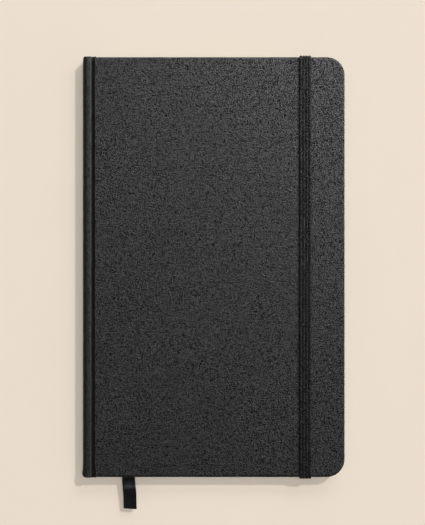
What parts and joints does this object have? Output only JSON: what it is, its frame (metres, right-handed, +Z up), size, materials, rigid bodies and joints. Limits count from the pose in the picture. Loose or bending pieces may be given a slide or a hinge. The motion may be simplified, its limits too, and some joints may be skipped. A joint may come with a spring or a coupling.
{
  "type": "hardcover notebook",
  "caption": "Cloth-covered hardback notebook with rounded fore-edge corners, elastic closure band and ribbon page marker; opens flat.",
  "frame": {"origin": "middle of the closed notebook's outline, on the outer face of the back cover", "axes": "+X from the spine to the fore-edge, +Y from tail to head, +Z up through the front cover"},
  "size_m": [0.1308, 0.2266, 0.0157],
  "materials": {
    "book_cloth": "woven matt, sized cotton, charcoal",
    "cover_board": "pressed grey board",
    "page_paper": "smooth uncoated, cream",
    "endpaper": "smooth heavy uncoated, cream",
    "sewing_thread": "waxed linen thread",
    "spine_mull": "open starched gauze",
    "kraft_paper": "ribbed kraft paper",
    "headband_cloth": "woven striped cotton over a cord",
    "ribbon_satin": "satin with selvedges, black",
    "elastic_webbing": "ribbed woven elastic, black"
  },
  "bodies": {
    "back_cover": {"back_board": "cover_board", "back_cover_cloth": "book_cloth", "back_pastedown": "endpaper", "back_flyleaf": "endpaper", "back_joint_cloth": "book_cloth", "signature_01": "page_paper", "sewing_threads": "sewing_thread", "spine_mull": "spine_mull", "spine_paper_lining": "kraft_paper", "head_headband": "headband_cloth", "tail_headband": "headband_cloth", "ribbon_anchor": "ribbon_satin", "elastic_back_ends": "elastic_webbing", "elastic_head_wrap": "elastic_webbing", "elastic_tail_wrap": "elastic_webbing"},
    "spine": {"spine_board": "cover_board", "spine_cloth": "book_cloth"},
    "front_cover": {"front_board": "cover_board", "front_cover_cloth": "book_cloth", "front_pastedown": "endpaper", "front_joint_cloth": "book_cloth"},
    "elastic_band": {"elastic_front_run": "elastic_webbing"},
    "right_page": {"right_leaf": "page_paper", "ribbon_marker": "ribbon_satin"},
    "left_page": {"left_leaf": "page_paper"},
    "front_endpaper": {"front_flyleaf": "endpaper"},
    "section_02": {"signature_02": "page_paper"},
    "section_03": {"signature_03": "page_paper"},
    "section_04": {"signature_04": "page_paper"},
    "section_05": {"signature_05": "page_paper"},
    "section_06": {"signature_06": "page_paper"},
    "section_07": {"signature_07": "page_paper"},
    "section_08": {"signature_08": "page_paper"},
    "section_09": {"signature_09": "page_paper"},
    "section_10": {"signature_10": "page_paper"},
    "section_11": {"signature_11": "page_paper"},
    "section_12": {"signature_12": "page_paper"}
  },
  "joints": [
    {"name": "spine_hinge", "type": "hinge", "parent": "back_cover", "child": "spine", "pos_m": [-0.06405, 0, 0.0013], "axis": [0, -1, 0], "range_deg": [0, 90], "deforming": ["back_joint_cloth"]},
    {"name": "cover_hinge", "type": "hinge", "parent": "spine", "child": "front_cover", "pos_m": [-0.06405, 0, 0.0135], "axis": [0, -1, 0], "range_deg": [0, 90], "deforming": ["front_joint_cloth"]},
    {"name": "band_swing", "type": "hinge", "parent": "back_cover", "child": "elastic_band", "pos_m": [0.0461, 0, 0.0074], "axis": [0, 1, 0], "range_deg": [0, 180], "deforming": ["elastic_front_run", "elastic_head_wrap", "elastic_tail_wrap", "elastic_back_ends"]},
    {"name": "section_02_turn", "type": "hinge", "parent": "back_cover", "child": "section_02", "pos_m": [-0.0626, 0, 0.0074], "axis": [0, -1, 0], "range_deg": [0, 0.77]},
    {"name": "section_03_turn", "type": "hinge", "parent": "back_cover", "child": "section_03", "pos_m": [-0.0626, 0, 0.0074], "axis": [0, -1, 0], "range_deg": [0, 1.04]},
    {"name": "section_04_turn", "type": "hinge", "parent": "back_cover", "child": "section_04", "pos_m": [-0.0626, 0, 0.0074], "axis": [0, -1, 0], "range_deg": [0, 1.31]},
    {"name": "section_05_turn", "type": "hinge", "parent": "back_cover", "child": "section_05", "pos_m": [-0.0626, 0, 0.0074], "axis": [0, -1, 0], "range_deg": [0, 1.58]},
    {"name": "section_06_turn", "type": "hinge", "parent": "back_cover", "child": "section_06", "pos_m": [-0.0626, 0, 0.0074], "axis": [0, -1, 0], "range_deg": [0, 1.85]},
    {"name": "section_07_turn", "type": "hinge", "parent": "back_cover", "child": "section_07", "pos_m": [-0.0626, 0, 0.0074], "axis": [0, -1, 0], "range_deg": [0, 2.12]},
    {"name": "section_08_turn", "type": "hinge", "parent": "back_cover", "child": "section_08", "pos_m": [-0.0626, 0, 0.0074], "axis": [0, -1, 0], "range_deg": [0, 2.39]},
    {"name": "right_page_turn", "type": "hinge", "parent": "back_cover", "child": "right_page", "pos_m": [-0.0626, 0, 0.0074], "axis": [0, -1, 0], "range_deg": [0, 3.2], "deforming": ["ribbon_marker"]},
    {"name": "left_page_turn", "type": "hinge", "parent": "back_cover", "child": "left_page", "pos_m": [-0.06269, 0, 0.0074], "axis": [0, -1, 0], "range_deg": [0, 176.45]},
    {"name": "section_09_turn", "type": "hinge", "parent": "back_cover", "child": "section_09", "pos_m": [-0.06276, 0, 0.0074], "axis": [0, -1, 0], "range_deg": [0, 177.08], "deforming": ["spine_mull", "spine_paper_lining", "head_headband", "tail_headband", "sewing_threads", "ribbon_anchor"]},
    {"name": "section_10_turn", "type": "hinge", "parent": "back_cover", "child": "section_10", "pos_m": [-0.06311, 0, 0.0074], "axis": [0, -1, 0], "range_deg": [0, 177.71]},
    {"name": "section_11_turn", "type": "hinge", "parent": "back_cover", "child": "section_11", "pos_m": [-0.06345, 0, 0.0074], "axis": [0, -1, 0], "range_deg": [0, 178.34]},
    {"name": "section_12_turn", "type": "hinge", "parent": "back_cover", "child": "section_12", "pos_m": [-0.06379, 0, 0.0074], "axis": [0, -1, 0], "range_deg": [0, 178.97]},
    {"name": "front_endpaper_turn", "type": "hinge", "parent": "back_cover", "child": "front_endpaper", "pos_m": [-0.06416, 0, 0.0074], "axis": [0, -1, 0], "range_deg": [0, 179.78]}
  ],
  "couplings": [
    {"joint": "spine_hinge", "follows": "cover_hinge", "ratio": 1},
    {"joint": "section_02_turn", "follows": "cover_hinge", "ratio": 0.003},
    {"joint": "section_03_turn", "follows": "cover_hinge", "ratio": 0.006},
    {"joint": "section_04_turn", "follows": "cover_hinge", "ratio": 0.009},
    {"joint": "section_05_turn", "follows": "cover_hinge", "ratio": 0.012},
    {"joint": "section_06_turn", "follows": "cover_hinge", "ratio": 0.015},
    {"joint": "section_07_turn", "follows": "cover_hinge", "ratio": 0.018},
    {"joint": "section_08_turn", "follows": "cover_hinge", "ratio": 0.021},
    {"joint": "right_page_turn", "follows": "cover_hinge", "ratio": 0.03},
    {"joint": "left_page_turn", "follows": "cover_hinge", "ratio": 1.955},
    {"joint": "section_09_turn", "follows": "cover_hinge", "ratio": 1.962},
    {"joint": "section_10_turn", "follows": "cover_hinge", "ratio": 1.969},
    {"joint": "section_11_turn", "follows": "cover_hinge", "ratio": 1.976},
    {"joint": "section_12_turn", "follows": "cover_hinge", "ratio": 1.983},
    {"joint": "front_endpaper_turn", "follows": "cover_hinge", "ratio": 1.992}
  ]
}
